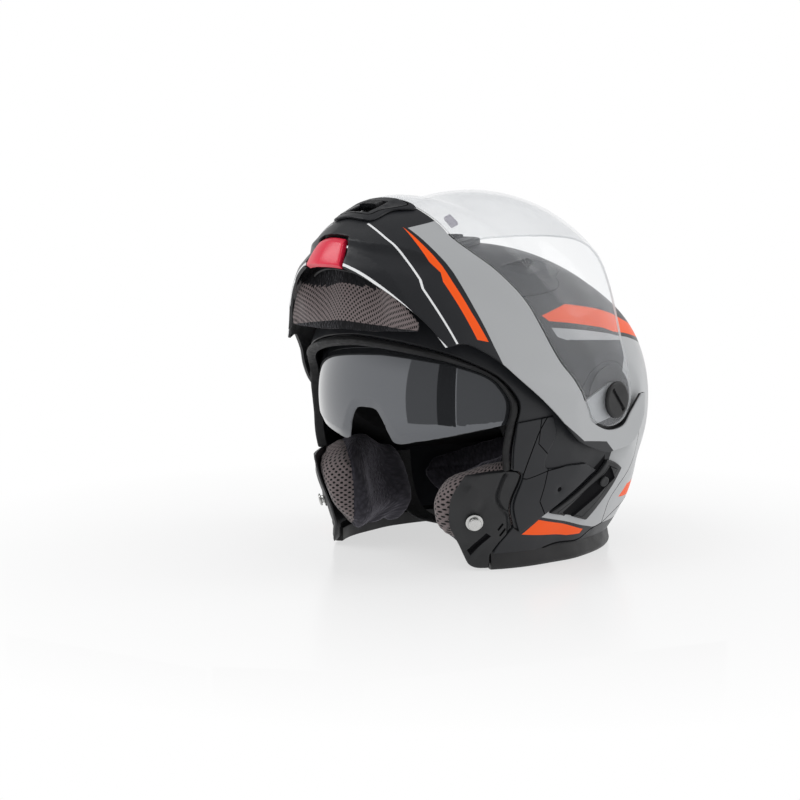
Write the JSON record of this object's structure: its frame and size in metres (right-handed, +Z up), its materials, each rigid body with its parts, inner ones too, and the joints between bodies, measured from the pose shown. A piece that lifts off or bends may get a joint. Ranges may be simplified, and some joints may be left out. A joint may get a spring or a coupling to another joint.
{
  "type": "motorcycle helmet",
  "caption": "Modular motorcycle helmet with raised chin bar, clear visor, drop-down sun visor, cheek pads, chin curtain, vents, latch pins and chin strap.",
  "frame": {"origin": "centre of the bounding box in X and Y, on the surface the rim stands on", "axes": "+Z up, the face looks along -Y, +X is the wearer's left"},
  "size_m": [0.2684, 0.3254, 0.2856],
  "materials": {
    "shell_black": "matt lacquer, anthracite",
    "cover_black": "fine-grained black",
    "chin_grey": "matt light grey with black, orange and white graphics",
    "rubber_black": "matt",
    "foam_black": "expanded polystyrene, black",
    "fabric_grey": "spacer mesh fabric",
    "fabric_dark": "brushed lining fabric",
    "button_red": "satin red",
    "steel": "polished",
    "clear_visor": "clear polycarbonate",
    "smoke_visor": "smoke-tinted polycarbonate",
    "webbing_black": "woven webbing"
  },
  "bodies": {
    "helmet_shell": {"cheek_pad_left": "fabric_grey", "cheek_pad_right": "fabric_grey", "chin_strap_left": "webbing_black", "chin_strap_right": "webbing_black", "crown_comfort_liner": "fabric_grey", "eps_liner": "foam_black", "eye_port_gasket": "rubber_black", "hinge_base_plate_left": "cover_black", "hinge_base_plate_right": "cover_black", "hinge_bolt_left": "steel", "hinge_bolt_right": "steel", "jaw_cover_left": "cover_black", "jaw_cover_right": "cover_black", "latch_pin_left": "steel", "latch_pin_right": "steel", "neck_rim_trim": "rubber_black", "neck_roll": "fabric_dark", "outer_shell": "shell_black", "ratchet_strip": "cover_black", "rear_exhaust_cover": "cover_black", "side_panel_left": "shell_black", "side_panel_right": "shell_black", "strap_buckle": "steel", "strap_rivet_left": "steel", "strap_rivet_right": "steel", "sun_visor_pivot_left": "steel", "sun_visor_pivot_right": "steel", "sun_visor_slider_housing": "shell_black", "top_vent_cover": "shell_black"},
    "visor": {"visor": "clear_visor", "visor_lift_tab": "cover_black"},
    "sun_visor": {"sun_visor": "smoke_visor"},
    "sun_visor_slider": {"sun_visor_slider": "cover_black"},
    "release_button": {"release_button": "button_red"},
    "latch_hook_left": {"latch_hook_left": "steel"},
    "latch_hook_right": {"latch_hook_right": "steel"},
    "chin_vent_slider": {"chin_vent_slider": "cover_black"},
    "top_vent_slider": {"top_vent_slider": "cover_black"},
    "visor_pivot_cap_left": {"visor_pivot_cap_left": "cover_black"},
    "visor_pivot_cap_right": {"visor_pivot_cap_right": "cover_black"},
    "buckle_lever": {"buckle_lever": "cover_black"},
    "chin_bar": {"chin_bar": "chin_grey", "chin_bar_liner": "foam_black", "chin_curtain": "fabric_grey", "chin_vent_cover": "chin_grey", "release_housing": "cover_black", "hinge_arm_left": "steel", "hinge_arm_right": "steel"}
  },
  "joints": [
    {"name": "chin_bar_hinge", "type": "hinge", "parent": "helmet_shell", "child": "chin_bar", "pos_m": [0, 0.024, 0.125], "axis": [1, 0, 0], "range_deg": [0, 64]},
    {"name": "visor_hinge", "type": "hinge", "parent": "chin_bar", "child": "visor", "pos_m": [0, 0.024, 0.125], "axis": [-1, 0, 0], "range_deg": [0, 40]},
    {"name": "sun_visor_hinge", "type": "hinge", "parent": "helmet_shell", "child": "sun_visor", "pos_m": [0, 0.002, 0.125], "axis": [-1, 0, 0], "range_deg": [0, 36]},
    {"name": "sun_visor_slide", "type": "slide", "parent": "helmet_shell", "child": "sun_visor_slider", "axis": [-0.2948, -0.7476, -0.5952], "range_m": [0, 0.0306]},
    {"name": "release_button_press", "type": "slide", "parent": "chin_bar", "child": "release_button", "axis": [0, 0.8387, -0.5446], "range_m": [0, 0.006], "stiffness_N_per_m": 700, "springref_m": -0.001},
    {"name": "latch_hook_left_slide", "type": "slide", "parent": "chin_bar", "child": "latch_hook_left", "axis": [-1, 0, 0], "range_m": [0, 0.003]},
    {"name": "latch_hook_right_slide", "type": "slide", "parent": "chin_bar", "child": "latch_hook_right", "axis": [1, 0, 0], "range_m": [0, 0.003]},
    {"name": "chin_vent_slide", "type": "slide", "parent": "chin_bar", "child": "chin_vent_slider", "axis": [0, -0.9507, -0.3102], "range_m": [0, 0.008]},
    {"name": "top_vent_slide", "type": "slide", "parent": "helmet_shell", "child": "top_vent_slider", "axis": [0, -0.9974, -0.0726], "range_m": [0, 0.007]},
    {"name": "visor_pivot_cap_left_turn", "type": "hinge", "parent": "helmet_shell", "child": "visor_pivot_cap_left", "pos_m": [0.1315, 0.024, 0.125], "axis": [1, 0, 0], "range_deg": [0, 45]},
    {"name": "visor_pivot_cap_right_turn", "type": "hinge", "parent": "helmet_shell", "child": "visor_pivot_cap_right", "pos_m": [-0.1315, 0.024, 0.125], "axis": [-1, 0, 0], "range_deg": [0, 45]},
    {"name": "buckle_lever_hinge", "type": "hinge", "parent": "helmet_shell", "child": "buckle_lever", "pos_m": [0.04, 0.036, 0.0111], "axis": [0, 1, 0], "range_deg": [0, 50], "stiffness_Nm_per_rad": 0.03, "springref_deg": -17.19}
  ],
  "couplings": [
    {"joint": "sun_visor_slide", "follows": "sun_visor_hinge", "m_per_rad": 0.0487},
    {"joint": "latch_hook_left_slide", "follows": "release_button_press", "ratio": 0.5},
    {"joint": "latch_hook_right_slide", "follows": "release_button_press", "ratio": 0.5}
  ]
}
